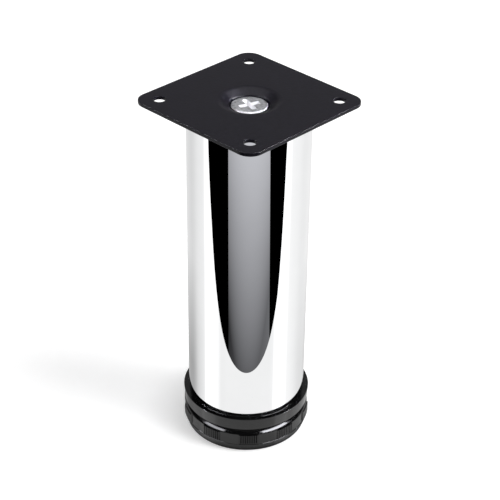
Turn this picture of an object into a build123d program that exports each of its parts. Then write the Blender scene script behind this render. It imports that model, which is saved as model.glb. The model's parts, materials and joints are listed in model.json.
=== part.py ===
"""Adjustable furniture leg: a chromed tube between a square screw-on plate and a knurled foot.

The foot screws in and out to level the furniture. All lengths are in millimetres. The origin is on
the floor, under the middle of the foot, and +Z points up.
"""

from build123d import *
import math
import os

# Tube
tube_diameter = 50.0
tube_wall = 1.2
tube_length = 136.0

# Mounting plate, pressed from sheet
plate_side = 65.0
plate_thickness = 1.5
plate_corner_radius = 6.0
plate_edge_chamfer = 0.4
bolt_spacing = 49.5
bolt_hole_diameter = 5.0
dish_mouth_diameter = 23.6
dish_mouth_chamfer = 0.8
dish_rim_width = 3.0

# Countersunk machine screw in the plate
screw_diameter = 8.0
screw_length = 30.0
head_diameter = 14.5
head_rim = 0.5
head_half_angle = 45.0
head_sink = 2.0
head_side_gap = 0.45
recess_radius = 4.4
recess_tip_radius = 1.1
recess_arm_width = 2.3
recess_depth = 3.6
recess_turn = -18.7

# Hexagon nuts
top_nut_flats = 13.0
top_nut_height = 6.5
base_nut_flats = 17.0
base_nut_height = 8.0
nut_chamfer_angle = 30.0
nut_pocket_gap = 0.1
nut_recess = 0.6

# Threads and through holes, drawn as plain cylinders
thread_gap = 0.05
through_gap = 0.4

# Moulded plugs in the two ends of the tube
plug_wall = 2.0
plug_gap = 0.1
hub_wall = 2.4
dish_seat_gap = 0.15
base_plug_length = 24.0
base_hub_roof = 2.4
stud_cap_wall = 2.4
stud_cap_gap = 1.0

# Collar of the base plug
collar_diameter = 54.4
collar_foot_diameter = 53.6
collar_height = 5.6
collar_edge_chamfer = 0.4

# Adjusting foot
foot_height = 11.2
foot_base_diameter = 51.6
foot_ledge_diameter = 54.4
foot_ledge_height = 4.1
foot_band_diameter = 53.8
foot_band_top = 9.3
foot_shoulder_diameter = 50.6
foot_edge_chamfer = 0.4
foot_skirt = 3.0
foot_web = 2.6
foot_hub_diameter = 18.0
foot_core_lift = 0.6
foot_rib_count = 5
foot_rib_thickness = 1.6
stud_seat_height = 2.5

# Knurled grip patches round the foot
knurl_patch_count = 10
knurl_patch_angle = 18.0
knurl_first_angle = 11.4
knurl_ridges = 9
knurl_depth = 0.4
knurl_rise = 0.1
knurl_ledge_gap = 0.4
knurl_root_depth = 0.5

# Stud and travel of the foot
stud_diameter = 10.0
stud_tip_chamfer = 0.6
stud_reserve = 1.9
foot_travel = 15.0
rest_gap = 0.8

# Extra length of a cutting solid beyond the face that it cuts
cut_margin = 1.0

# How a block or cylinder sits on its own origin: above it or below it
ABOVE = (Align.CENTER, Align.CENTER, Align.MIN)
BELOW = (Align.CENTER, Align.CENTER, Align.MAX)

# Heights of the stacked pieces
collar_bottom = foot_height + rest_gap
tube_bottom = collar_bottom + collar_height
tube_top = tube_bottom + tube_length
plate_top = tube_top + plate_thickness
base_nut_bottom = collar_bottom + nut_recess
base_nut_top = base_nut_bottom + base_nut_height
stud_top = base_nut_top + foot_travel + stud_reserve
head_top = plate_top - head_sink
screw_tip = head_top - screw_length
tube_bore_radius = tube_diameter / 2 - tube_wall
spigot_radius = tube_bore_radius - plug_gap


def turned(outline, chamfers=()):
    """Turn a closed outline of (radius, height) corners about Z, with the listed corners chamfered."""
    face = make_face(Polyline(*outline, close=True))
    for corner, size in chamfers:
        vertex = face.vertices().sort_by_distance((*corner, 0))[0]
        face = chamfer(vertex, size)
    return revolve(Plane.XZ * face, axis=Axis.Z)


def cylinder_between(radius, low, high):
    """Upright cylinder on the Z axis between two heights."""
    return Pos(0, 0, low) * Cylinder(radius, high - low, align=ABOVE)


def hexagon_corner(flats):
    """Radius of a hexagon's corners, from its width across flats."""
    return flats / 2 / math.cos(math.pi / 6)


def hexagon_between(flats, low, high):
    """Upright hexagonal prism on the Z axis, given by its width across flats."""
    return Pos(0, 0, low) * extrude(RegularPolygon(hexagon_corner(flats), 6), high - low)


def rays(count, inner, outer, thickness, low, high):
    """Upright radial walls, evenly spaced round Z."""
    wall = Box(outer - inner, thickness, high - low, align=(Align.MIN, Align.CENTER, Align.MIN))
    return [Rot(0, 0, 360 / count * i) * Pos(inner, 0, low) * wall for i in range(count)]


def slope_offset(corner, angle_before, angle_after, distance):
    """Corner of a pressed sheet's lower face, below a corner of its upper face between two slopes."""
    before = (-math.sin(angle_before), -math.cos(angle_before))
    after = (-math.sin(angle_after), -math.cos(angle_after))
    stretch = distance / (1 + before[0] * after[0] + before[1] * after[1])
    return (corner[0] + (before[0] + after[0]) * stretch, corner[1] + (before[1] + after[1]) * stretch)


def dish_section():
    """Corners of the pressed dish from its hole outwards: the upper face, then the lower face."""
    steep = math.radians(90 - head_half_angle)
    cone_start = head_top - head_rim
    hole_radius = screw_diameter / 2 + through_gap
    step_radius = head_diameter / 2 + head_side_gap
    step_height = cone_start + (step_radius - head_diameter / 2) * math.tan(steep) - thread_gap
    hole_height = step_height - (step_radius - hole_radius) * math.tan(steep)
    mouth = (dish_mouth_diameter / 2, plate_top)
    gentle = math.atan2(plate_top - step_height, mouth[0] - step_radius)
    step = (step_radius, step_height)
    upper = [(hole_radius, hole_height), step, mouth]
    lower_mouth = slope_offset(mouth, gentle, 0, plate_thickness)
    lower_step = slope_offset(step, steep, gentle, plate_thickness)
    lower_hole_height = hole_height - plate_thickness / math.cos(steep)
    lower = [(hole_radius, lower_hole_height), lower_step, lower_mouth]
    return upper, lower


def make_mounting_plate():
    """Square plate with rounded corners, four screw holes and the dish for the middle screw."""
    upper, lower = dish_section()
    rim = dish_mouth_diameter / 2 + dish_rim_width
    outline = [*upper, (rim, plate_top), (rim, tube_top), *reversed(lower)]
    dish = turned(outline, [(upper[2], dish_mouth_chamfer)])
    sheet = extrude(RectangleRounded(plate_side, plate_side, plate_corner_radius), plate_thickness)
    sheet = Pos(0, 0, tube_top) * sheet
    sheet = chamfer(sheet.edges().group_by(Axis.Z)[-1], plate_edge_chamfer)
    sheet -= cylinder_between(rim, tube_top - cut_margin, plate_top + cut_margin)
    hole = cylinder_between(bolt_hole_diameter / 2, tube_top - cut_margin, plate_top + cut_margin)
    for place in GridLocations(bolt_spacing, bolt_spacing, 2, 2):
        sheet -= place * hole
    return sheet + dish


def make_plate_screw():
    """Countersunk machine screw with a cross recess, its thread drawn as a plain shank."""
    shank = screw_diameter / 2
    cone = (head_diameter / 2 - shank) / math.tan(math.radians(head_half_angle))
    outline = [
        (0, head_top),
        (head_diameter / 2, head_top),
        (head_diameter / 2, head_top - head_rim),
        (shank, head_top - head_rim - cone),
        (shank, screw_tip),
        (0, screw_tip),
    ]
    screw = turned(outline)
    side = make_face(
        Polyline(
            (-recess_radius, 0),
            (recess_radius, 0),
            (recess_tip_radius, -recess_depth),
            (-recess_tip_radius, -recess_depth),
            close=True,
        )
    )
    arm = extrude(Plane.XZ * side, recess_arm_width / 2, both=True)
    for turn in (recess_turn, recess_turn + 90):
        screw -= Pos(0, 0, head_top) * Rot(0, 0, turn) * arm
    return screw


def make_nut(flats, height, thread_diameter, bottom):
    """Hexagon nut with its upper corners chamfered, its thread drawn as a plain bore."""
    corner = hexagon_corner(flats)
    fall = (corner - flats / 2) * math.tan(math.radians(nut_chamfer_angle))
    bore = thread_diameter / 2 + thread_gap
    top = bottom + height
    outline = [
        (bore, bottom),
        (corner, bottom),
        (corner, top - fall),
        (flats / 2, top),
        (bore, top),
    ]
    return hexagon_between(flats, bottom, top) & turned(outline)


def make_tube():
    """Round tube, cut square at both ends."""
    tube = cylinder_between(tube_diameter / 2, tube_bottom, tube_top)
    return tube - cylinder_between(tube_bore_radius, tube_bottom, tube_top)


def make_top_plug():
    """Thick disc in the tube's upper end, with a recess for the dish, a screw hole and a nut pocket."""
    recess = dish_section()[1][2][0] + dish_seat_gap
    pocket_bottom = top_nut_bottom - nut_recess
    pocket_roof = top_nut_bottom + top_nut_height
    plug = cylinder_between(spigot_radius, pocket_bottom, tube_top)
    plug -= cylinder_between(recess, seat_floor, tube_top)
    plug -= cylinder_between(screw_diameter / 2 + through_gap, pocket_roof, tube_top)
    plug -= hexagon_between(top_nut_flats + 2 * nut_pocket_gap, pocket_bottom, pocket_roof)
    return plug


def make_base_plug():
    """Plug for the tube's lower end: a collar under the tube, a spigot and a nut hub with a stud cap."""
    top = tube_bottom + base_plug_length
    inner = spigot_radius - plug_wall
    pocket_flats = base_nut_flats + 2 * nut_pocket_gap
    hub = hexagon_corner(pocket_flats) + hub_wall
    hub_top = base_nut_top + base_hub_roof
    clear = stud_diameter / 2 + through_gap
    cap = clear + stud_cap_wall
    cap_roof = stud_top + stud_cap_gap
    collar_edge = (collar_diameter / 2, tube_bottom)
    plug = turned(
        [
            (0, collar_bottom),
            (collar_foot_diameter / 2, collar_bottom),
            collar_edge,
            (spigot_radius, tube_bottom),
            (spigot_radius, top),
            (inner, top),
            (inner, tube_bottom),
            (hub, tube_bottom),
            (hub, hub_top),
            (cap, hub_top),
            (cap, cap_roof + stud_cap_wall),
            (0, cap_roof + stud_cap_wall),
        ],
        [(collar_edge, collar_edge_chamfer)],
    )
    plug -= cylinder_between(clear, collar_bottom, cap_roof)
    plug -= hexagon_between(pocket_flats, collar_bottom, base_nut_top)
    return plug


def make_stud():
    """Stud of the foot, its thread drawn as a plain cylinder with a chamfered upper end."""
    radius = stud_diameter / 2
    return turned(
        [
            (0, stud_seat_height),
            (radius, stud_seat_height),
            (radius, stud_top - stud_tip_chamfer),
            (radius - stud_tip_chamfer, stud_top),
            (0, stud_top),
        ]
    )


def knurl_patch():
    """One patch of upright ridges, centred on the X axis and rooted in the foot's band."""
    band = foot_band_diameter / 2
    pitch = math.radians(knurl_patch_angle / knurl_ridges)
    start = -pitch * knurl_ridges / 2
    root = band - knurl_root_depth
    valley = band + knurl_rise
    corners = [(root, start), (valley, start)]
    for ridge in range(knurl_ridges):
        corners.append((valley + knurl_depth, start + pitch * (ridge + 0.5)))
        corners.append((valley, start + pitch * (ridge + 1)))
    corners.append((root, -start))
    outline = Polyline(*[(r * math.cos(a), r * math.sin(a)) for r, a in corners], close=True)
    low = foot_ledge_height + knurl_ledge_gap
    return Pos(0, 0, low) * extrude(make_face(outline), foot_band_top - low)


def make_adjusting_foot():
    """Round foot: tapered rim, knurled band, sloped shoulder and a hub for the stud, cored from below."""
    base = foot_base_diameter / 2
    ledge = foot_ledge_diameter / 2
    band = foot_band_diameter / 2
    shoulder = foot_shoulder_diameter / 2
    body = turned(
        [
            (0, 0),
            (base, 0),
            (ledge, foot_ledge_height),
            (band, foot_ledge_height),
            (band, foot_band_top),
            (shoulder, foot_height),
            (0, foot_height),
        ],
        [((shoulder, foot_height), foot_edge_chamfer)],
    )
    patch = knurl_patch()
    for i in range(knurl_patch_count):
        body += Rot(0, 0, knurl_first_angle + 360 / knurl_patch_count * i) * patch
    core_roof = foot_height - foot_web
    inner = base - foot_skirt
    hub = foot_hub_diameter / 2
    core = cylinder_between(inner, 0, core_roof) - cylinder_between(hub, foot_core_lift, core_roof)
    body -= core - rays(foot_rib_count, hub / 2, inner, foot_rib_thickness, foot_core_lift, core_roof)
    return body - cylinder_between(stud_diameter / 2 + thread_gap, stud_seat_height, foot_height)


# The plate screw's nut sits just under the pressed dish, in the top plug
seat_floor = dish_section()[1][0][1] - dish_seat_gap
top_nut_bottom = seat_floor - plug_wall - top_nut_height

pieces = {
    "mounting_plate": make_mounting_plate(),
    "plate_screw": make_plate_screw(),
    "top_plug": make_top_plug(),
    "top_nut": make_nut(top_nut_flats, top_nut_height, screw_diameter, top_nut_bottom),
    "leg_tube": make_tube(),
    "base_plug": make_base_plug(),
    "base_nut": make_nut(base_nut_flats, base_nut_height, stud_diameter, base_nut_bottom),
    "foot_stud": make_stud(),
    "adjusting_foot": make_adjusting_foot(),
}

os.makedirs("parts", exist_ok=True)
for name, piece in pieces.items():
    export_step(piece, f"parts/{name}.step")
    print(name, "solids", len(piece.solids()), "volume", round(piece.volume, 1))
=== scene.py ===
# %% [markdown]
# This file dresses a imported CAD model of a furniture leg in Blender. The leg is a chromed tube
# with a square plate on top and a knurled foot that screws in and out. The CAD parts are loaded
# first and never moved: every new mesh is made around them, in metres, in the same frame.

# %% Load the frame
import json
import math

import bmesh
import bpy
from mathutils import Matrix, Vector

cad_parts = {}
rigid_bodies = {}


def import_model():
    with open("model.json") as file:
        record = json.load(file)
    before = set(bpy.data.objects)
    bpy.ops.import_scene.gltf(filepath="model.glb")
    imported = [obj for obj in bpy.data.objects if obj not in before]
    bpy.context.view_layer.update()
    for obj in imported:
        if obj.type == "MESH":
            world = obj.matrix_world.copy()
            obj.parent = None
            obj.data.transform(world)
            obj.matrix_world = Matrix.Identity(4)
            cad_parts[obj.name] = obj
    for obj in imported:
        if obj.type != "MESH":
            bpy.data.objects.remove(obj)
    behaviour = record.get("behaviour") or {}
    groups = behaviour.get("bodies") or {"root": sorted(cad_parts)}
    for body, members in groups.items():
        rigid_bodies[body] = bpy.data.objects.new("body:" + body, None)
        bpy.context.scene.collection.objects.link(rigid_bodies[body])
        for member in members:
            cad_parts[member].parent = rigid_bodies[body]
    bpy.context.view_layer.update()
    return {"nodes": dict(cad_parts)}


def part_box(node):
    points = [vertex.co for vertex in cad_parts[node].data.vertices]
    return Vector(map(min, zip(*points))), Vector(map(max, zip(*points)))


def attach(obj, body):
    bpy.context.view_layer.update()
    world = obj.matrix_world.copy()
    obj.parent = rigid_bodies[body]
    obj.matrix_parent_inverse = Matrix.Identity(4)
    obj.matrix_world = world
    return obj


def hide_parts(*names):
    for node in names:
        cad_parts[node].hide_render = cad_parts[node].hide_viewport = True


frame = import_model()
scene = bpy.context.scene
MM = 0.001

# %% [markdown]
# The main sizes repeat those of the CAD model, in millimetres. Writing them once at the top keeps
# the new pieces in step with the solids that they stand for.

# %% Sizes shared with the CAD model
TUBE_RADIUS, TUBE_BORE_RADIUS = 25.0, 23.8
TUBE_BOTTOM, TUBE_TOP = 17.6, 153.6
PLATE_TOP, PLATE_SIDE, PLATE_THICKNESS, PLATE_CORNER = 155.1, 65.0, 1.5, 6.0
BOLT_SPACING, BOLT_HOLE_RADIUS = 49.5, 2.5
HEAD_TOP, HEAD_RADIUS, HEAD_RIM = 153.1, 7.25, 0.5
SCREW_RADIUS, SCREW_TIP = 4.0, 123.1
COLLAR_BOTTOM, FOOT_HEIGHT = 12.0, 11.2
STUD_RADIUS, STUD_LOW, STUD_TOP = 5.0, 2.5, 37.5
tube_low, tube_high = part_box("leg_tube")
print("tube from", round(tube_low.z / MM, 2), "to", round(tube_high.z / MM, 2), "mm")

# %% [markdown]
# Turned parts are the main form here. One way is a stock cylinder with loops added; a shorter one
# is to draw half of the outline and spin it round the Z axis, as a lathe does. The outline is given
# as (radius, height) pairs, and a full spin is welded into one closed skin.

# %% Helpers for turned meshes
WELD, NEAR = 1e-6, 0.01


def lathe(bm, outline, steps, closed=True):
    """Spin an outline of (radius, height) pairs in millimetres round Z."""
    points = [bm.verts.new((r * MM, 0.0, z * MM)) for r, z in outline]
    pairs = list(zip(points, points[1:]))
    if closed:
        pairs.append((points[-1], points[0]))
    chain = [bm.edges.new(pair) for pair in pairs]
    bmesh.ops.spin(
        bm, geom=points + chain, cent=(0, 0, 0), axis=(0, 0, 1),
        angle=math.tau, steps=steps, use_merge=True,
    )
    bmesh.ops.remove_doubles(bm, verts=bm.verts[:], dist=WELD)


def ring_edges(bm, radius, height):
    """The edges of the ring at a radius and height, in millimetres."""
    def on_ring(v):
        return abs(v.co.xy.length / MM - radius) < NEAR and abs(v.co.z / MM - height) < NEAR
    return [e for e in bm.edges if on_ring(e.verts[0]) and on_ring(e.verts[1])]


def round_ring(bm, radius, height, size, segments):
    """Round a turned corner, as a mould or a press leaves it."""
    bmesh.ops.bevel(
        bm, geom=ring_edges(bm, radius, height), affect="EDGES", offset=size * MM,
        offset_type="OFFSET", segments=segments, profile=0.5, material=-1,
    )


# %% [markdown]
# A finished mesh needs the same last steps each time: weld doubles, turn the faces outwards, shade
# them smooth, hang the piece on the body that it rides on, and hide the CAD solid that it stands
# for.
# Smooth shading alone would bend the light on a flat next to a rounded edge. A Weighted Normal
# modifier lets the large faces decide, so flats mirror as flats and only the edges are curved.

# %% Helpers that turn a mesh into a piece
def to_object(bm, name):
    """Put a bmesh into the scene as an object."""
    mesh = bpy.data.meshes.new(name)
    bm.to_mesh(mesh)
    bm.free()
    thing = bpy.data.objects.new(name, mesh)
    scene.collection.objects.link(thing)
    return thing


def make_piece(
    bm, name, body, node, finish, sharp_angle=35.0, edge_round=0.0, steady=False,
):
    """Finish a bmesh as a piece that replaces one CAD node."""
    bmesh.ops.remove_doubles(bm, verts=bm.verts[:], dist=WELD)
    bmesh.ops.recalc_face_normals(bm, faces=bm.faces[:])
    for face in bm.faces:
        face.smooth = True
    piece = to_object(bm, name)
    mesh = piece.data
    mesh.set_sharp_from_angle(angle=math.radians(sharp_angle))
    mesh.materials.append(finish)
    if edge_round:
        rounding = piece.modifiers.new("eased_edges", "BEVEL")
        rounding.width = edge_round * MM
        rounding.segments = 3
        rounding.limit_method = "ANGLE"
        rounding.angle_limit = math.radians(sharp_angle)
        rounding.harden_normals = True
    if steady:
        weighted = piece.modifiers.new("steady_shading", "WEIGHTED_NORMAL")
        weighted.weight = 100
        weighted.keep_sharp = True
    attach(piece, body)
    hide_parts(node)
    print(name, "has", len(mesh.vertices), "vertices and", len(mesh.polygons), "faces")
    return piece


# %% [markdown]
# Recesses and pockets are cut by Boolean modifiers. The result is read back as a mesh, and the
# body and its cutting tools are deleted, so nothing but the finished piece stays in the scene.

# %% Helper for cuts
def cut_away(body, tools):
    """Cut the tools out of the body and return the mesh that is left."""
    for tool in tools:
        cut = body.modifiers.new("cut", "BOOLEAN")
        cut.operation = "DIFFERENCE"
        cut.solver = "EXACT"
        cut.object = tool
    graph = bpy.context.evaluated_depsgraph_get()
    mesh = bpy.data.meshes.new_from_object(body.evaluated_get(graph))
    for spent in (body, *tools):
        bpy.data.objects.remove(spent)
    return mesh


# %% [markdown]
# Materials are built from nodes. A few short helpers keep that readable: one adds a node with its
# inputs, one does a step of arithmetic, and others map ranges, measure along a direction and make
# ramps and groups.

# %% Helpers for shader nodes
def plug_in(tree, socket, value):
    """Link a socket to another one, or set it to a number."""
    if isinstance(value, bpy.types.NodeSocket):
        tree.links.new(value, socket)
    else:
        socket.default_value = value


def add_node(tree, kind, settings=None, **sockets):
    """Add a node with its settings; the other names are its input sockets."""
    node = tree.nodes.new(kind)
    for key, value in (settings or {}).items():
        setattr(node, key, value)
    for key, value in sockets.items():
        plug_in(tree, node.inputs[key.replace("_", " ")], value)
    return node


def calc(tree, operation, *values):
    """One step of arithmetic."""
    node = tree.nodes.new("ShaderNodeMath")
    node.operation = operation
    for socket, value in zip(node.inputs, values):
        plug_in(tree, socket, value)
    return node.outputs[0]


def span(tree, value, low, high, to_low, to_high):
    """Map one range onto another, clamped at both ends."""
    node = add_node(tree, "ShaderNodeMapRange", Value=value)
    ends = (("From Min", low), ("From Max", high), ("To Min", to_low), ("To Max", to_high))
    for key, number in ends:
        plug_in(tree, node.inputs[key], number)
    return node.outputs["Result"]


def along(tree, place, direction):
    """How far a place lies along a direction."""
    node = tree.nodes.new("ShaderNodeVectorMath")
    node.operation = "DOT_PRODUCT"
    tree.links.new(place, node.inputs[0])
    node.inputs[1].default_value = direction
    return node.outputs["Value"]


def level_ramp(tree, factor, stops):
    """A ramp of grey levels, given as (place, level) pairs in order."""
    node = tree.nodes.new("ShaderNodeValToRGB")
    tree.links.new(factor, node.inputs["Fac"])
    bands = node.color_ramp.elements
    while len(bands) < len(stops):
        bands.new(0.5)
    for band, (place, level) in zip(bands, stops):
        band.position = place
        band.color = (level, level, level, 1)
    return node.outputs["Color"]


def make_group(name, inputs, outputs):
    """A shader node group, with its entry and its exit."""
    group = bpy.data.node_groups.new(name, "ShaderNodeTree")
    for label, kind, value in inputs:
        socket = group.interface.new_socket(label, in_out="INPUT", socket_type=kind)
        if value is not None:
            socket.default_value = value
    for label in outputs:
        group.interface.new_socket(label, in_out="OUTPUT", socket_type="NodeSocketFloat")
    return group, group.nodes.new("NodeGroupInput").outputs, group.nodes.new("NodeGroupOutput")


FLOAT, VECTOR = "NodeSocketFloat", "NodeSocketVector"

# %% [markdown]
# Real surfaces are never one flat value. Two effects are shared by all finishes here. The first is
# a fine grain, which is what paint, plating and moulded plastic show close up. It is a node group,
# built once, with its own numbers in every material.

# %% Fine grain group
grain_group, given, leave = make_group(
    "fine_grain",
    [("Vector", VECTOR, None), ("Scale", FLOAT, 800.0), ("Low", FLOAT, 0.0), ("High", FLOAT, 1.0)],
    ["Value", "Height"],
)
speckle = add_node(
    grain_group, "ShaderNodeTexNoise", Vector=given["Vector"], Scale=given["Scale"], Detail=3.0,
    Roughness=0.6,
)
spread = span(grain_group, speckle.outputs["Fac"], 0.3, 0.7, given["Low"], given["High"])
plug_in(grain_group, leave.inputs["Value"], spread)
plug_in(grain_group, leave.inputs["Height"], speckle.outputs["Fac"])
print("fine_grain has", len(grain_group.nodes), "nodes")

# %% [markdown]
# The second effect is faint marks of handling: smudges in patches, where a hand has wiped. They
# only make the surface a little rougher.

# %% Handling marks group
marks_group, given, leave = make_group(
    "handling_marks",
    [("Vector", VECTOR, None), ("Scale", FLOAT, 30.0), ("Amount", FLOAT, 0.3)],
    ["Mask"],
)
cloud = add_node(
    marks_group, "ShaderNodeTexNoise", Vector=given["Vector"], Scale=given["Scale"], Detail=4.0,
    Distortion=1.2,
)
wipe = add_node(marks_group, "ShaderNodeTexNoise", Vector=given["Vector"], Scale=7.0, Detail=2.0)
spots = span(marks_group, cloud.outputs["Fac"], 0.45, 0.75, 0.0, 1.0)
patchy = calc(marks_group, "MULTIPLY", spots, wipe.outputs["Fac"])
plug_in(marks_group, leave.inputs["Mask"], calc(marks_group, "MULTIPLY", patchy, given["Amount"]))
print("handling_marks has", len(marks_group.nodes), "nodes")


# %% [markdown]
# Every finish is the same recipe with other numbers. The grain moves the colour between two close
# tones and sets the roughness, the marks add to the roughness, and the grain's height is the bump.

# %% Helper for a material
def make_finish(name, dark, light, rough, marks, grain_scale, bump_height, **shader):
    """A material whose colour, roughness and bump come from the two shared groups."""
    finish = bpy.data.materials.new(name)
    finish.use_nodes = True
    tree = finish.node_tree
    bsdf = tree.nodes["Principled BSDF"]
    for key, value in shader.items():
        bsdf.inputs[key.replace("_", " ")].default_value = value
    place = tree.nodes.new("ShaderNodeTexCoord").outputs["Object"]
    grain = add_node(
        tree, "ShaderNodeGroup", {"node_tree": grain_group}, Vector=place, Scale=grain_scale,
        Low=rough[0], High=rough[1],
    )
    smudge = add_node(
        tree, "ShaderNodeGroup", {"node_tree": marks_group}, Vector=place, Scale=marks[0],
        Amount=marks[1],
    )
    tint = add_node(tree, "ShaderNodeMix", {"data_type": "RGBA"})
    tint.inputs["A"].default_value = (*dark, 1.0)
    tint.inputs["B"].default_value = (*light, 1.0)
    tree.links.new(span(tree, grain.outputs["Height"], 0.35, 0.65, 0.0, 1.0), tint.inputs["Factor"])
    tree.links.new(tint.outputs["Result"], bsdf.inputs["Base Color"])
    gloss = calc(tree, "ADD", grain.outputs["Value"], smudge.outputs["Mask"])
    tree.links.new(gloss, bsdf.inputs["Roughness"])
    if bump_height:
        bump = add_node(
            tree, "ShaderNodeBump", Height=grain.outputs["Height"], Distance=bump_height * MM,
        )
        tree.links.new(bump.outputs["Normal"], bsdf.inputs["Normal"])
    print("finish", name, "has", len(tree.nodes), "nodes")
    return finish


# %% [markdown]
# The plate is powder coated: black, satin, with a fine orange peel that breaks up the highlights.

# %% Powder coat
powder_coat = make_finish(
    "powder_coat", (0.0030, 0.0023, 0.0063), (0.0065, 0.0054, 0.0110), (0.28, 0.36), (40.0, 0.08),
    900.0, 0.030, Specular_IOR_Level=0.2,
)

# %% [markdown]
# The tube is polished steel with bright chrome. Almost all that shows on it is a reflection, so its
# roughness stays very low, with only a trace of wiping marks.

# %% Chrome
chrome = make_finish(
    "bright_chrome", (0.89, 0.895, 0.90), (0.91, 0.915, 0.92), (0.002, 0.006), (25.0, 0.012),
    60.0, 0.0, Metallic=1.0,
)

# %% [markdown]
# Screw, nuts and stud are zinc plated: a grey metal that is duller than chrome, with a fine
# crystal-like mottle.

# %% Zinc
zinc = make_finish(
    "bright_zinc", (0.50, 0.505, 0.525), (0.76, 0.765, 0.79), (0.26, 0.36), (120.0, 0.10),
    900.0, 0.008, Metallic=1.0,
)

# %% [markdown]
# The inside of the recess is painted light. Its slanted walls mirror light from above and behind
# and look white, and that highlight is painted in as a whiter, more matt zinc. The screw has its
# own copy of the zinc: a mask by place, below the head's top and near the axis, moves colour,
# roughness and metalness towards that painted near-white.

# %% Zinc of the screw, with a painted highlight in the recess
RECESS_LIGHT_START, RECESS_LIGHT_FULL = 0.02, 0.10
RECESS_LIGHT_RADIUS, RECESS_LIGHT_EDGE = 4.6, 0.1
RECESS_LIGHT_COLOUR, RECESS_LIGHT_ROUGHNESS, RECESS_LIGHT_METALLIC = (0.93, 0.93, 0.95, 1), 0.5, 0.1
zinc_with_painted_recess_light = zinc.copy()
zinc_with_painted_recess_light.name = "bright_zinc_screw_painted_recess_light"
tree = zinc_with_painted_recess_light.node_tree
bsdf = tree.nodes["Principled BSDF"]
place = next(n for n in tree.nodes if n.type == "TEX_COORD").outputs["Object"]
parts = add_node(tree, "ShaderNodeSeparateXYZ", Vector=place)
depth = calc(tree, "SUBTRACT", HEAD_TOP * MM, parts.outputs["Z"])
squares = [calc(tree, "POWER", parts.outputs[axis], 2) for axis in "XY"]
radius = calc(tree, "SQRT", calc(tree, "ADD", *squares))
below = span(tree, depth, RECESS_LIGHT_START * MM, RECESS_LIGHT_FULL * MM, 0.0, 1.0)
inside = span(tree, radius, RECESS_LIGHT_RADIUS * MM, (RECESS_LIGHT_RADIUS + RECESS_LIGHT_EDGE) * MM, 1.0, 0.0)
recess_light_mask = calc(tree, "MULTIPLY", below, inside)
base_link = bsdf.inputs["Base Color"].links[0].from_socket
rough_link = bsdf.inputs["Roughness"].links[0].from_socket
# Painted highlight: the recess is made near-white where reflected light would make it shine.
paint_recess_light = add_node(tree, "ShaderNodeMix", {"data_type": "RGBA"})
tree.links.new(recess_light_mask, paint_recess_light.inputs["Factor"])
tree.links.new(base_link, paint_recess_light.inputs["A"])
paint_recess_light.inputs["B"].default_value = RECESS_LIGHT_COLOUR
tree.links.new(paint_recess_light.outputs["Result"], bsdf.inputs["Base Color"])
rough_mix = span(tree, recess_light_mask, 0, 1, rough_link, RECESS_LIGHT_ROUGHNESS)
tree.links.new(rough_mix, bsdf.inputs["Roughness"])
tree.links.new(span(tree, recess_light_mask, 0, 1, 1.0, RECESS_LIGHT_METALLIC), bsdf.inputs["Metallic"])
print("zinc with painted recess light has", len(tree.nodes), "nodes")

# %% [markdown]
# Collar and foot are moulded in black plastic. The collar is smooth and fairly glossy; the foot
# is a little duller, since its grip is handled.

# %% Moulded plastics
BLACK, DARK_GREY = (0.0015, 0.0015, 0.0016), (0.0035, 0.0035, 0.0038)
collar_plastic = make_finish(
    "collar_plastic", BLACK, DARK_GREY, (0.03, 0.05), (60.0, 0.02), 500.0, 0.0,
)
foot_plastic = make_finish(
    "foot_plastic", BLACK, DARK_GREY, (0.10, 0.16), (60.0, 0.08), 700.0, 0.001,
)

# %% [markdown]
# The tube is a plain pipe, so its section is spun as a small closed rectangle. 192 steps keep the
# outline round, and a Bevel modifier eases the cut ends, so that they catch a thin line of light.

# %% Tube
ROUND_STEPS = 192
bm = bmesh.new()
lathe(bm, [
    (TUBE_BORE_RADIUS, TUBE_BOTTOM), (TUBE_RADIUS, TUBE_BOTTOM),
    (TUBE_RADIUS, TUBE_TOP), (TUBE_BORE_RADIUS, TUBE_TOP),
], ROUND_STEPS)
make_piece(bm, "chromed_pipe", "leg", "leg_tube", chrome, edge_round=0.25)

# %% [markdown]
# The plate is pressed from sheet. It is made the same way: first one skin, the rounded square with
# its holes and the turned dish welded in, and then a Solidify modifier gives it the sheet's
# thickness. The square's corners are rounded with a vertex bevel. A narrow ring of quads is inset
# along the outline, so that the bevel that comes later has room to run.

# %% Plate outline
RING = 0.8
bm = bmesh.new()
at_top = Matrix.Translation((0, 0, PLATE_TOP * MM))
bmesh.ops.create_grid(bm, x_segments=1, y_segments=1, size=PLATE_SIDE / 2 * MM, matrix=at_top)
bmesh.ops.bevel(
    bm, geom=bm.verts[:], affect="VERTICES", offset=PLATE_CORNER * MM, offset_type="OFFSET",
    segments=12, profile=0.5, material=-1,
)
bmesh.ops.inset_region(bm, faces=bm.faces[:], thickness=RING * MM, use_even_offset=True)
flat = max(bm.faces, key=lambda face: face.calc_area())
fill_edges = list(flat.edges)
bmesh.ops.delete(bm, geom=[flat], context="FACES_ONLY")
print("outline with", len(fill_edges), "edges")

# %% [markdown]
# The four screw holes get the same narrow ring: the fill starts at the outer circle, and its rim is
# extruded and scaled inwards to the hole's own radius.

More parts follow.
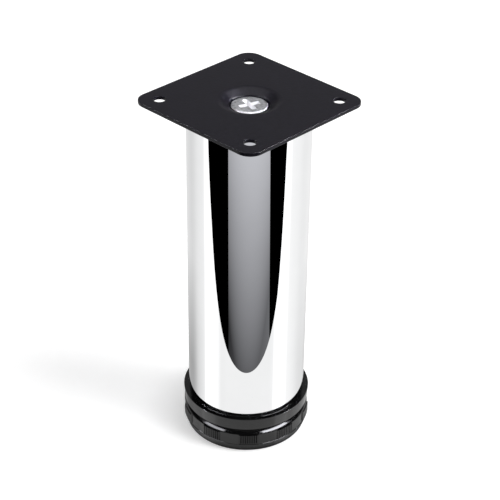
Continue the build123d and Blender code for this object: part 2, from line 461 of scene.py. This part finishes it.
# %% Plate holes and fill
HOLE_STEPS, DISH_STEPS, DISH_RIM = 40, 128, 15.2
half_spacing = BOLT_SPACING / 2 * MM
rims = []
for x in (-half_spacing, half_spacing):
    for y in (-half_spacing, half_spacing):
        middle = Vector((x, y, PLATE_TOP * MM))
        circle = bmesh.ops.create_circle(
            bm, cap_ends=False, segments=HOLE_STEPS, radius=(BOLT_HOLE_RADIUS + RING) * MM,
            matrix=Matrix.Translation(middle),
        )["verts"]
        rims.append((middle, list({e for v in circle for e in v.link_edges})))
        fill_edges += rims[-1][1]
dish_circle = bmesh.ops.create_circle(
    bm, cap_ends=False, segments=DISH_STEPS, radius=DISH_RIM * MM, matrix=at_top,
)["verts"]
fill_edges += list({e for v in dish_circle for e in v.link_edges})
bmesh.ops.triangle_fill(bm, edges=fill_edges, use_beauty=True, normal=(0, 0, 1))
shrink = BOLT_HOLE_RADIUS / (BOLT_HOLE_RADIUS + RING)
for middle, rim in rims:
    grown = bmesh.ops.extrude_edge_only(bm, edges=rim)["geom"]
    inner = [g for g in grown if isinstance(g, bmesh.types.BMVert)]
    bmesh.ops.scale(bm, vec=(shrink, shrink, 1), verts=inner, space=Matrix.Translation(-middle))
print("flat of the plate:", len(bm.faces), "faces")

# %% [markdown]
# The dish is spun from its half outline: the flat rim, the mouth, the step, a groove round the
# screw's head and the seat that the head's cone lies on. Its mouth and step are rounded, because
# pressed sheet has no sharp bends. The groove is what draws the dark ring round the head.

# %% Dish
DISH_MOUTH, DISH_STEP, DISH_GROOVE, DISH_SEAT, DISH_HOLE = 11.9, 8.15, 7.95, 6.45, 4.4
SEAT_GAP, MOUTH_ROUND, STEP_ROUND, SHEET_ROUND = 0.05, 1.2, 0.3, 0.5
STEP_HEIGHT = HEAD_TOP - SEAT_GAP
GROOVE_HEIGHT = HEAD_TOP - HEAD_RIM - (HEAD_RADIUS - DISH_SEAT) - SEAT_GAP
HOLE_HEIGHT = GROOVE_HEIGHT - (DISH_SEAT - DISH_HOLE)
lathe(bm, [
    (DISH_RIM, PLATE_TOP), (DISH_MOUTH, PLATE_TOP), (DISH_STEP, STEP_HEIGHT),
    (DISH_GROOVE, GROOVE_HEIGHT), (DISH_SEAT, GROOVE_HEIGHT), (DISH_HOLE, HOLE_HEIGHT),
], DISH_STEPS, closed=False)
round_ring(bm, DISH_MOUTH, PLATE_TOP, MOUTH_ROUND, 6)
round_ring(bm, DISH_STEP, STEP_HEIGHT, STEP_ROUND, 3)
plate = make_piece(bm, "pressed_plate", "leg", "mounting_plate", powder_coat, 60.0)
sheet = plate.modifiers.new("sheet_thickness", "SOLIDIFY")
sheet.thickness = PLATE_THICKNESS * MM
sheet.offset = -1.0
sheet.use_even_offset = True
easing = plate.modifiers.new("eased_edges", "BEVEL")
easing.width = SHEET_ROUND * MM
easing.segments = 3
easing.limit_method = "ANGLE"
easing.angle_limit = math.radians(60)
print("the plate's skin looks", "up" if plate.data.polygons[0].normal.z > 0 else "down")

# %% [markdown]
# The flat is made of long thin triangles. Smooth shading would show them as creases, so a Weighted
# Normal modifier lets the large flat faces decide the shading of their corners.

# %% Shading of the plate
steady = plate.modifiers.new("steady_shading", "WEIGHTED_NORMAL")
steady.weight = 100
steady.mode = "FACE_AREA"
print("plate modifiers:", [modifier.name for modifier in plate.modifiers])

# %% [markdown]
# Threads are spun too: a spin that also climbs draws a screw. The outline covers one pitch, so each
# turn meets the next one exactly and the two can be welded. Two planes then cut the ends square.


# %% Helper for a threaded rod
THREAD_DEPTH, CUT_NEAR = 0.6134, 1e-8


def threaded_rod(bm, radius, pitch, low, high, tip_ease, steps=48):
    """A rod with an outer thread, in millimetres, closed at both ends."""
    root = radius - THREAD_DEPTH * pitch
    crest, flank = pitch / 8, pitch * 5 / 16
    start = low - 2 * pitch
    heights = (0, crest, crest + flank, pitch - flank, pitch)
    radii = (radius, radius, root, root, radius)
    points = [bm.verts.new((r * MM, 0.0, (start + h) * MM)) for r, h in zip(radii, heights)]
    chain = [bm.edges.new(pair) for pair in zip(points, points[1:])]
    turns = math.ceil((high - low) / pitch) + 4
    bmesh.ops.spin(
        bm, geom=points + chain, cent=(0, 0, 0), axis=(0, 0, 1), angle=math.tau * turns,
        steps=steps * turns, dvec=(0, 0, pitch * MM / steps), use_merge=False,
    )
    bmesh.ops.remove_doubles(bm, verts=bm.verts[:], dist=WELD)
    for height, side in ((high, 1), (low, -1)):
        cut = bmesh.ops.bisect_plane(
            bm, geom=bm.verts[:] + bm.edges[:] + bm.faces[:], dist=CUT_NEAR,
            plane_co=(0, 0, height * MM), plane_no=(0, 0, side), clear_outer=True,
        )
        rim = [g for g in cut["geom_cut"] if isinstance(g, bmesh.types.BMEdge)]
        bmesh.ops.holes_fill(bm, edges=rim, sides=0)
    for v in bm.verts:
        reach = radius * MM - max(0.0, v.co.z - (high - tip_ease) * MM)
        if v.co.xy.length > reach:
            v.co.xy *= reach / v.co.xy.length
    print("rod with", turns, "turns has", len(bm.faces), "faces")


# %% [markdown]
# The foot's stud has a real thread, because it shows between collar and foot when the foot is
# screwed out.

# %% Stud
STUD_PITCH, STUD_TIP_EASE = 1.5, 0.6
bm = bmesh.new()
threaded_rod(bm, STUD_RADIUS, STUD_PITCH, STUD_LOW, STUD_TOP, STUD_TIP_EASE)
make_piece(bm, "threaded_stud", "stud", "foot_stud", zinc, 30.0)

# %% [markdown]
# The screw is a countersunk machine screw. Its head is turned: a flat top with a shallow slope round
# it, the cone, and a short neck below the cone, where the thread takes over.

# %% Screw head
NECK_HEIGHT = HEAD_TOP - HEAD_RIM - (HEAD_RADIUS - SCREW_RADIUS)
NECK_LENGTH, TOP_RADIUS, TOP_FALL, TOP_ROUND = 2.0, HEAD_RADIUS - 0.6, 0.35, 0.4
bm = bmesh.new()
lathe(bm, [
    (0, HEAD_TOP), (TOP_RADIUS, HEAD_TOP), (HEAD_RADIUS, HEAD_TOP - TOP_FALL),
    (HEAD_RADIUS, HEAD_TOP - HEAD_RIM), (SCREW_RADIUS, NECK_HEIGHT),
    (SCREW_RADIUS, NECK_HEIGHT - NECK_LENGTH), (0, NECK_HEIGHT - NECK_LENGTH),
], DISH_STEPS)
round_ring(bm, TOP_RADIUS, HEAD_TOP, TOP_ROUND, 4)
bmesh.ops.recalc_face_normals(bm, faces=bm.faces[:])
head = to_object(bm, "screw_head")

# %% [markdown]
# The cross recess is cut by two bars that get shorter and narrower downwards. Each is a cube whose
# corners are moved, and both stand a little above the head, so that they cut it cleanly.

# %% Cross recess
RECESS_TOP, RECESS_TIP, RECESS_WIDTH, RECESS_DEPTH, RECESS_TURN = 4.4, 1.1, 2.3, 3.6, -18.7
NARROWING, OVERSHOOT = 0.62, 0.4
slope = (RECESS_TOP - RECESS_TIP) / RECESS_DEPTH
bars = []
for turn in (RECESS_TURN, RECESS_TURN + 90):
    bm = bmesh.new()
    bmesh.ops.create_cube(bm, size=1.0)
    for v in bm.verts:
        above = v.co.z > 0
        reach = RECESS_TOP + slope * OVERSHOOT if above else RECESS_TIP
        width = RECESS_WIDTH * (1.0 if above else NARROWING)
        v.co = Vector((
            math.copysign(reach, v.co.x), math.copysign(width / 2, v.co.y),
            HEAD_TOP + OVERSHOOT if above else HEAD_TOP - RECESS_DEPTH,
        )) * MM
    spun = Matrix.Rotation(math.radians(turn), 3, "Z")
    bmesh.ops.rotate(bm, verts=bm.verts[:], cent=(0, 0, 0), matrix=spun)
    bars.append(to_object(bm, "recess_bar"))
cut_head = cut_away(head, bars)
print("head with its recess:", len(cut_head.polygons), "faces")

# %% [markdown]
# The threaded rod and the cut head overlap by half the neck and make one screw together.

# %% Screw
SCREW_PITCH = 1.25
bm = bmesh.new()
threaded_rod(bm, SCREW_RADIUS, SCREW_PITCH, SCREW_TIP, NECK_HEIGHT - NECK_LENGTH / 2, 0.0, 40)
bm.from_mesh(cut_head)
make_piece(
    bm, "countersunk_screw", "leg", "plate_screw", zinc_with_painted_recess_light, 30.0,
    edge_round=0.12,
)

# %% [markdown]
# The base plug is a turned moulding: a collar that the tube stands on, a spigot inside the tube and
# a hub with a cap over the stud. The collar's two outer edges are rounded.

# %% Base plug
COLLAR_LOW, COLLAR_WIDE, COLLAR_TOP_ROUND, COLLAR_LOW_ROUND = 26.8, 27.2, 0.12, 0.25
SPIGOT_OUTER, SPIGOT_INNER, SPIGOT_TOP = 23.7, 21.7, 41.6
HUB_OUTER, HUB_TOP = 12.33, 23.0
CAP_BORE, CAP_OUTER, CAP_ROOF, CAP_TOP = 5.4, 7.8, 38.5, 40.9
bm = bmesh.new()
lathe(bm, [
    (CAP_BORE, COLLAR_BOTTOM), (COLLAR_LOW, COLLAR_BOTTOM), (COLLAR_WIDE, TUBE_BOTTOM),
    (SPIGOT_OUTER, TUBE_BOTTOM), (SPIGOT_OUTER, SPIGOT_TOP), (SPIGOT_INNER, SPIGOT_TOP),
    (SPIGOT_INNER, TUBE_BOTTOM), (HUB_OUTER, TUBE_BOTTOM), (HUB_OUTER, HUB_TOP),
    (CAP_OUTER, HUB_TOP), (CAP_OUTER, CAP_TOP), (0, CAP_TOP), (0, CAP_ROOF), (CAP_BORE, CAP_ROOF),
], ROUND_STEPS)
round_ring(bm, COLLAR_WIDE, TUBE_BOTTOM, COLLAR_TOP_ROUND, 2)
round_ring(bm, COLLAR_LOW, COLLAR_BOTTOM, COLLAR_LOW_ROUND, 3)
bmesh.ops.recalc_face_normals(bm, faces=bm.faces[:])
plug = to_object(bm, "plug")

# %% [markdown]
# The nut's pocket is a six-sided prism that starts below the collar and ends at the pocket's roof.

# %% Nut pocket
POCKET_FLATS, POCKET_ROOF, POCKET_START = 17.2, 20.6, COLLAR_BOTTOM - 1.0
pocket_radius = POCKET_FLATS / math.sqrt(3) * MM
bm = bmesh.new()
bmesh.ops.create_cone(
    bm, cap_ends=True, segments=6, radius1=pocket_radius, radius2=pocket_radius,
    depth=(POCKET_ROOF - POCKET_START) * MM,
    matrix=Matrix.Translation((0, 0, (POCKET_ROOF + POCKET_START) / 2 * MM)),
)
cut_plug = cut_away(plug, [to_object(bm, "pocket")])
bm = bmesh.new()
bm.from_mesh(cut_plug)
make_piece(
    bm, "collar_plug", "leg", "base_plug", collar_plastic, 30.0, steady=True,
)

# %% [markdown]
# The foot is turned in 720 steps of half a degree: a hollow underside with a hub, a tapered rim up
# to a ledge, the upright band of the grip and a shoulder that swells a little. Extra rings on the
# band keep the grip's ridges apart from the ledge and the shoulder.

# %% Foot body
FOOT_STEPS, GRIP_START = 720, 2.4
BASE_RADIUS, LEDGE_RADIUS, BAND_RADIUS, SHOULDER_RADIUS = 25.8, 27.2, 26.9, 25.3
LEDGE_HEIGHT, BAND_RINGS, BAND_TOP = 4.0, (4.2, 4.5, 4.65, 9.15), 9.3
SHOULDER_SWELL = ((26.45, 10.0), (25.92, 10.64))
CORE_RADIUS, CORE_ROOF, CORE_HUB, HUB_LIFT, STUD_BORE = 22.8, 8.6, 9.0, 0.6, 5.05
bm = bmesh.new()
lathe(bm, [
    (0, HUB_LIFT), (CORE_HUB, HUB_LIFT), (CORE_HUB, CORE_ROOF), (CORE_RADIUS, CORE_ROOF),
    (CORE_RADIUS, 0), (BASE_RADIUS, 0), (LEDGE_RADIUS, LEDGE_HEIGHT),
    *[(BAND_RADIUS, ring) for ring in (*BAND_RINGS, BAND_TOP)], *SHOULDER_SWELL,
    (SHOULDER_RADIUS, FOOT_HEIGHT), (STUD_BORE, FOOT_HEIGHT), (STUD_BORE, STUD_LOW), (0, STUD_LOW),
], FOOT_STEPS)
for ring_radius, ring_height, size, segments in (
    (BASE_RADIUS, 0, 0.4, 3), (LEDGE_RADIUS, LEDGE_HEIGHT, 0.25, 4),
    (BAND_RADIUS, BAND_TOP, 0.12, 2), (SHOULDER_RADIUS, FOOT_HEIGHT, 0.35, 3),
):
    round_ring(bm, ring_radius, ring_height, size, segments)
spun = Matrix.Rotation(math.radians(GRIP_START), 3, "Z")
bmesh.ops.rotate(bm, verts=bm.verts[:], cent=(0, 0, 0), matrix=spun)
print("foot body:", len(bm.faces), "faces")

# %% [markdown]
# The grip is ten patches of nine upright ridges. In a patch every fourth column of points is pulled
# in and the three between are pushed out, which leaves flat ridges with sharp grooves, all made by
# scaling the chosen columns from the axis.

# %% Knurled grip
RIDGE_RISE, GROOVE_DEPTH, RIDGE_LOW, RIDGE_TOP, RIDGE_COLUMNS = 0.5, 0.3, 4.6, 9.2, 4
COLUMNS_PER_DEGREE = FOOT_STEPS / 360
PATCH_PITCH, PATCH_WIDTH = 36 * COLUMNS_PER_DEGREE, 18 * COLUMNS_PER_DEGREE
crests, grooves = [], []
for v in bm.verts:
    radius, height = v.co.xy.length / MM, v.co.z / MM
    if abs(radius - BAND_RADIUS) > NEAR or not RIDGE_LOW < height < RIDGE_TOP:
        continue
    degrees = math.degrees(math.atan2(v.co.y, v.co.x)) - GRIP_START
    column = round(degrees * COLUMNS_PER_DEGREE) % PATCH_PITCH
    if 0 < column < PATCH_WIDTH:
        (crests if column % RIDGE_COLUMNS else grooves).append(v)
for chosen, rise in ((crests, RIDGE_RISE), (grooves, -GROOVE_DEPTH)):
    grow = 1 + rise / BAND_RADIUS
    bmesh.ops.scale(bm, vec=(grow, grow, 1), verts=chosen)
print("grip:", len(crests) // 6, "ridges")

# %% [markdown]
# Five ribs stiffen the hollow underside, as on most moulded feet. Each is a cube stretched into a
# thin wall whose ends lie inside the hub and the rim.

# %% Foot ribs
RIB_COUNT, RIB_THICKNESS, RIB_INNER, RIB_OUTER, RIB_TOP = 5, 1.6, 8.5, 23.3, 9.0
rib_size = Vector((RIB_OUTER - RIB_INNER, RIB_THICKNESS, RIB_TOP - HUB_LIFT)) * MM
rib_middle = Vector(((RIB_OUTER + RIB_INNER) / 2, 0, (RIB_TOP + HUB_LIFT) / 2)) * MM
for i in range(RIB_COUNT):
    rib = bmesh.ops.create_cube(bm, size=1.0)["verts"]
    bmesh.ops.scale(bm, verts=rib, vec=rib_size)
    bmesh.ops.translate(bm, verts=rib, vec=rib_middle)
    spun = Matrix.Rotation(math.tau / RIB_COUNT * i, 3, "Z")
    bmesh.ops.rotate(bm, verts=rib, cent=(0, 0, 0), matrix=spun)
make_piece(
    bm, "knurled_foot", "foot", "adjusting_foot", foot_plastic, 28.0, steady=True,
)

# %% [markdown]
# The top plug and the two nuts are sealed inside the tube, so their CAD meshes stay. They only get
# the finishes of the pieces that they belong with.

# %% Finishes of the CAD nodes that stay
for node, finish in (("top_plug", collar_plastic), ("top_nut", zinc), ("base_nut", zinc)):
    mesh = frame["nodes"][node].data
    mesh.materials.clear()
    mesh.materials.append(finish)
    print(node, "gets", finish.name)

# %% [markdown]
# The camera stands where the photographer stood: in front of one corner of the plate, looking down
# at about 32 degrees through a long lens.

# %% Camera
camera_data = bpy.data.cameras.new("camera")
camera = bpy.data.objects.new("camera", camera_data)
scene.collection.objects.link(camera)
CAMERA_PLACE = Vector((-0.3666, -0.3592, 0.4118))
HEADING, TILT, ROLL, LENS = -45.69, 32.42, 0.745, 105.65
camera.matrix_world = (
    Matrix.Translation(CAMERA_PLACE)
    @ Matrix.Rotation(math.radians(HEADING), 4, "Z")
    @ Matrix.Rotation(math.radians(90 - TILT), 4, "X")
    @ Matrix.Rotation(math.radians(ROLL), 4, "Z")
)
camera_data.lens = LENS
camera_data.sensor_width = 36.0
camera_data.clip_start = 0.01
scene.camera = camera
toward_camera = Vector((CAMERA_PLACE.x, CAMERA_PLACE.y, 0)).normalized()
camera_right = Vector((-toward_camera.y, toward_camera.x, 0))
print("camera", round(CAMERA_PLACE.length, 3), "m from the foot")

# %% [markdown]
# Chrome shows the room, so the studio is part of the look. The leg stands near the front edge of a
# white table: what lies past that edge is mirrored by the tube as darkness, which draws the long
# dark shape with a rounded tip. So the floor is clear to mirror rays past the edge, and white to
# everything else. It rides on the stud, so it follows the foot.

# %% Floor
FLOOR_HALF, TABLE_EDGE = 3.0, 0.079
RIGHT_BEND, RIGHT_BEND_FROM, RIGHT_BEND_TO = 0.020, 0.112, 0.262
LEFT_BEND, LEFT_BEND_FROM, LEFT_BEND_TO = 0.006, -0.262, -0.185
bm = bmesh.new()
bmesh.ops.create_grid(bm, x_segments=1, y_segments=1, size=FLOOR_HALF)
floor = to_object(bm, "floor")
floor_paint = bpy.data.materials.new("white_table")
floor_paint.use_nodes = True
floor.data.materials.append(floor_paint)
tree = floor_paint.node_tree
tree.nodes.clear()
place = tree.nodes.new("ShaderNodeTexCoord").outputs["Object"]
ray = tree.nodes.new("ShaderNodeLightPath").outputs
ahead = along(tree, place, toward_camera)
aside = along(tree, place, camera_right)
bend = calc(
    tree, "SUBTRACT", span(tree, aside, RIGHT_BEND_FROM, RIGHT_BEND_TO, 0.0, RIGHT_BEND),
    span(tree, aside, LEFT_BEND_FROM, LEFT_BEND_TO, LEFT_BEND, 0.0),
)
past_edge = calc(tree, "GREATER_THAN", calc(tree, "SUBTRACT", ahead, bend), TABLE_EDGE)
print("table edge", TABLE_EDGE / MM, "mm in front of the leg's axis")

# %% [markdown]
# The mirrored table isn't evenly white either: windows, cards and the shadow make it brighter and
# darker by direction. One ramp gives the level for each direction of a mirrored ray and another how
# much it darkens close to the foot. A round mirror bends straight lines, so the pattern is drawn
# like an anamorphic picture: the place on the table is first turned back into the direction that a
# mirrored ray comes from, in four rounds of approach.

# %% Mirrored light of the floor
HALF_TURN = 180.0
SHADE_FROM, SHADE_TO = 0.060, 0.150
# CONTACT paints a contact shadow into the mirrored table, dark close round the foot.
CONTACT = ((0.0258, 0.0294, 0.12), (0.028, 0.036, 0.80))
LEVEL_BY_DIRECTION = (
    (-180, 0.85), (-158, 0.80), (-142, 0.76), (-130, 0.74), (-121, 0.78), (-114, 0.84),
    (-107, 0.89), (-100, 0.92), (-94, 0.94), (-91, 0.97), (-87, 1.25), (-60, 1.25), (-56, 1.05),
    (-51, 0.95), (-44, 0.95), (-38, 0.965), (46, 0.97), (53, 1.0), (58, 1.35), (80, 1.40),
    (84, 1.2), (87, 1.04), (92, 1.02), (98, 1.0), (106, 0.98), (113, 0.95), (121, 0.92),
    (132, 0.91), (144, 0.93), (180, 0.85),
)
SHADE_BY_DIRECTION = (
    (-180, 0.40), (-142, 0.47), (-130, 0.43), (-120, 0.32), (-113, 0.20), (-105, 0.13), (-98, 0.08),
    (-90, 0.02), (-86, 0.0), (95, 0.0), (121, 0.09), (144, 0.15), (180, 0.30),
)
reach = calc(tree, "SQRT", calc(
    tree, "ADD", calc(tree, "MULTIPLY", ahead, ahead), calc(tree, "MULTIPLY", aside, aside),
))
angle = calc(tree, "ARCTAN2", aside, ahead)
direction = angle
narrowing = calc(tree, "DIVIDE", TUBE_RADIUS * MM, reach)
for approach in range(4):
    lean = calc(tree, "SINE", calc(tree, "MULTIPLY", direction, 0.5))
    shift = calc(tree, "ARCSINE", calc(tree, "MULTIPLY", lean, narrowing))
    direction = calc(tree, "ADD", angle, shift)
turn = span(tree, direction, -math.pi, math.pi, 0.0, 1.0)
ramps = [
    level_ramp(tree, turn, [((a / HALF_TURN + 1) / 2, level) for a, level in stops])
    for stops in (LEVEL_BY_DIRECTION, SHADE_BY_DIRECTION)
]
closeness = span(tree, reach, SHADE_FROM, SHADE_TO, 1.0, 0.0)
# Painted contact shadow in the mirrored table, darkest right at the foot.
contact = calc(
    tree, "MULTIPLY", *[span(tree, reach, start, end, level, 1.0) for start, end, level in CONTACT],
)
shade = calc(tree, "SUBTRACT", 1.0, calc(tree, "MULTIPLY", ramps[1], closeness))
mirrored = calc(tree, "MULTIPLY", calc(tree, "MULTIPLY", ramps[0], shade), contact)
print("mirrored floor:", len(LEVEL_BY_DIRECTION), "levels and", len(SHADE_BY_DIRECTION), "shades")

# %% [markdown]
# The camera sees real diffuse paint that takes the shadow, lifted by a little glow so that the
# table is white where the light falls on it. The glow is weaker close to the foot, which paints a
# darker contact shade round it. Mirror rays get the ramps. Seen from underneath the table is clear,
# so that the foot can be looked at from below.

# %% Floor shader
LIFT, LIFT_AT_FOOT, LIFT_FROM, LIFT_TO = 0.57, 0.4275, 0.027, 0.048
matt = add_node(tree, "ShaderNodeBsdfDiffuse", Color=(0.8, 0.8, 0.8, 1))
# Painted shade: the glow drops to LIFT_AT_FOOT right round the foot.
lift = span(tree, reach, LIFT_FROM, LIFT_TO, LIFT_AT_FOOT, LIFT)
glow = add_node(
    tree, "ShaderNodeEmission", Strength=calc(tree, "MULTIPLY", ray["Is Camera Ray"], lift),
)
paint = tree.nodes.new("ShaderNodeAddShader")
tree.links.new(matt.outputs[0], paint.inputs[0])
tree.links.new(glow.outputs[0], paint.inputs[1])
reflected = add_node(tree, "ShaderNodeEmission", Strength=mirrored)
by_ray = add_node(tree, "ShaderNodeMixShader", Fac=ray["Is Glossy Ray"])
tree.links.new(paint.outputs[0], by_ray.inputs[1])
tree.links.new(reflected.outputs[0], by_ray.inputs[2])
under = tree.nodes.new("ShaderNodeNewGeometry").outputs["Backfacing"]
gone = calc(tree, "MAXIMUM", calc(tree, "MULTIPLY", past_edge, ray["Is Glossy Ray"]), under)
clear = tree.nodes.new("ShaderNodeBsdfTransparent")
pick = add_node(tree, "ShaderNodeMixShader", Fac=gone)
tree.links.new(by_ray.outputs[0], pick.inputs[1])
tree.links.new(clear.outputs[0], pick.inputs[2])
out = tree.nodes.new("ShaderNodeOutputMaterial")
tree.links.new(pick.outputs[0], out.inputs["Surface"])
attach(floor, "stud")
print("the floor's paint has", len(tree.nodes), "nodes")


# %% [markdown]
# Photographers place cards round a chromed object. These show only in reflections: a grey one
# past the table's edge, brighter upwards and to the right, two light ones that put the highlights
# on the foot's shoulder, two for the light lines along the plate's edges and one for the dish.
# The last five follow a sphere round the leg, so each has the same height all along.

# %% Helper for cards
CARD_TINT = (0.98, 0.985, 1.04, 1)


def make_card(name, rows, glow_by_height, glow_by_side=0.0):
    """A glowing card that only mirror rays see, given as two rows of (ahead, aside, height)."""
    bm = bmesh.new()
    low_row, high_row = [
        [bm.verts.new(toward_camera * a + camera_right * s + Vector((0, 0, z))) for a, s, z in row]
        for row in rows
    ]
    for i in range(len(low_row) - 1):
        bm.faces.new((low_row[i], low_row[i + 1], high_row[i + 1], high_row[i]))
    card = to_object(bm, name)
    paint = bpy.data.materials.new(name)
    paint.use_nodes = True
    card.data.materials.append(paint)
    tree = paint.node_tree
    tree.nodes.clear()
    place = tree.nodes.new("ShaderNodeTexCoord").outputs["Object"]
    (low, low_glow), (high, high_glow) = glow_by_height
    level = span(tree, along(tree, place, (0, 0, 1)), low, high, low_glow, high_glow)
    sideways = calc(tree, "MULTIPLY", along(tree, place, camera_right), glow_by_side)
    glow = add_node(
        tree, "ShaderNodeEmission", Color=CARD_TINT, Strength=calc(tree, "ADD", level, sideways),
    )
    out = tree.nodes.new("ShaderNodeOutputMaterial")
    tree.links.new(glow.outputs[0], out.inputs["Surface"])
    for flag in ("camera", "diffuse", "transmission", "shadow", "volume_scatter"):
        setattr(card, "visible_" + flag, False)


# %% [markdown]
# Each card is set by numbers: the front one by its corners, the others by the directions that they
# cover, in degrees round the leg and up from the floor, and by how brightly they glow. The small
# ones are very bright, because only a thin rounded edge mirrors them.

# %% Cards
FRONT = 0.40
make_card(
    "front_card",
    [
        [(FRONT, -0.268, -0.34), (FRONT, 0.389, -0.34)],
        [(FRONT, -0.302, -0.05), (FRONT, 0.289, -0.05)],
    ],
    ((-0.26, 0.085), (-0.05, 0.605)), 0.20,
)
CARD_DISTANCE, CARD_COLUMNS = 0.9, 8
SPHERE_CARDS = (
    ("right_card", 30, 78, 20, 37, 20.0), ("left_card", -77, -38, 20, 37, 9.0),
    ("right_edge_card", 96, 112, 44.5, 52, 240.0), ("left_edge_card", -110, -96, 45, 52, 110.0),
    ("dish_card", 122, 150, 52, 76, 2.0),
)
for name, start, stop, low, high, card_glow in SPHERE_CARDS:
    step = (stop - start) / CARD_COLUMNS
    turns = [math.radians(start + step * i) for i in range(CARD_COLUMNS + 1)]
    rows = []
    for e in (math.radians(low), math.radians(high)):
        out, up = CARD_DISTANCE * math.cos(e), CARD_DISTANCE * math.sin(e)
        rows.append([(out * math.cos(t), out * math.sin(t), up) for t in turns])
    make_card(name, rows, ((0, card_glow), (1, card_glow)))
print(len(SPHERE_CARDS) + 1, "cards")

# %% [markdown]
# One large soft lamp stands at the right, a little in front, so the shadow falls softly to the
# left and back. It is twice as tall as wide: the shadow stays narrow but fades along its length.
# The cards already stand for it in reflections, so glossy rays don't see it.

# %% Key lamp
KEY_TURN, KEY_LIFT, KEY_DISTANCE, KEY_WATTS = 70.5, 47.0, 2.1, 37.3
KEY_WIDTH, KEY_HEIGHT = 0.95, 1.84
t, e = math.radians(KEY_TURN), math.radians(KEY_LIFT)
outward = toward_camera * math.cos(t) + camera_right * math.sin(t)
key = bpy.data.lights.new("key_lamp", "AREA")
key.shape = "RECTANGLE"
key.size, key.size_y = KEY_WIDTH, KEY_HEIGHT
key.energy = KEY_WATTS
key_lamp = bpy.data.objects.new("key_lamp", key)
key_lamp.visible_glossy = False
scene.collection.objects.link(key_lamp)
target = Vector((0, 0, 0.06))
key_lamp.location = target + (outward * math.cos(e) + Vector((0, 0, math.sin(e)))) * KEY_DISTANCE
key_lamp.rotation_euler = (target - key_lamp.location).to_track_quat("-Z", "Y").to_euler()
print("key lamp at", [round(c, 2) for c in key_lamp.location])

# %% [markdown]
# The world is the white room. The camera sees it white and diffuse rays get an even grey. Mirror
# rays see a dark room in front, a grey wall behind, a soft light overhead and nothing below.

# %% World
WALL_LIGHT, ROOM_DARK, CEILING_LIGHT, AMBIENT = 0.31, 0.03, 1.7, 0.38
WALL_FULL, WALL_END, SIDE_FULL, SIDE_END, SIDE_DARK = -0.75, -0.2, 0.25, 0.5, 0.1
CEILING_START, CEILING_FULL, HORIZON_EDGE = 0.74, 0.92, 0.01
world = bpy.data.worlds.new("studio")
scene.world = world
world.use_nodes = True
tree = world.node_tree
tree.nodes.clear()
ray = tree.nodes.new("ShaderNodeLightPath").outputs
place = tree.nodes.new("ShaderNodeTexCoord").outputs["Generated"]
height = along(tree, place, (0, 0, 1))
depth = along(tree, place, toward_camera)
aside = calc(tree, "ABSOLUTE", along(tree, place, camera_right))
wall = calc(
    tree, "MULTIPLY", span(tree, depth, WALL_FULL, WALL_END, WALL_LIGHT, ROOM_DARK),
    span(tree, aside, SIDE_FULL, SIDE_END, 1.0, SIDE_DARK),
)
above = span(tree, height, CEILING_START, CEILING_FULL, 0.0, CEILING_LIGHT)
horizon = span(tree, height, 0.0, HORIZON_EDGE, 0.0, 1.0)
room = calc(tree, "MULTIPLY", calc(tree, "ADD", wall, above), horizon)
mirrored = add_node(tree, "ShaderNodeBackground", Strength=room)
ambient = add_node(tree, "ShaderNodeBackground", Strength=AMBIENT)
white = add_node(tree, "ShaderNodeBackground", Strength=1.0)
for background in (mirrored, ambient, white):
    background.inputs["Color"].default_value = (1, 1, 1, 1)
by_glossy = add_node(tree, "ShaderNodeMixShader", Fac=ray["Is Glossy Ray"])
by_camera = add_node(tree, "ShaderNodeMixShader", Fac=ray["Is Camera Ray"])
tree.links.new(ambient.outputs[0], by_glossy.inputs[1])
tree.links.new(mirrored.outputs[0], by_glossy.inputs[2])
tree.links.new(by_glossy.outputs[0], by_camera.inputs[1])
tree.links.new(white.outputs[0], by_camera.inputs[2])
out = tree.nodes.new("ShaderNodeOutputWorld")
tree.links.new(by_camera.outputs[0], out.inputs["Surface"])
scene.view_settings.view_transform = "Standard"
print("world has", len(tree.nodes), "nodes")
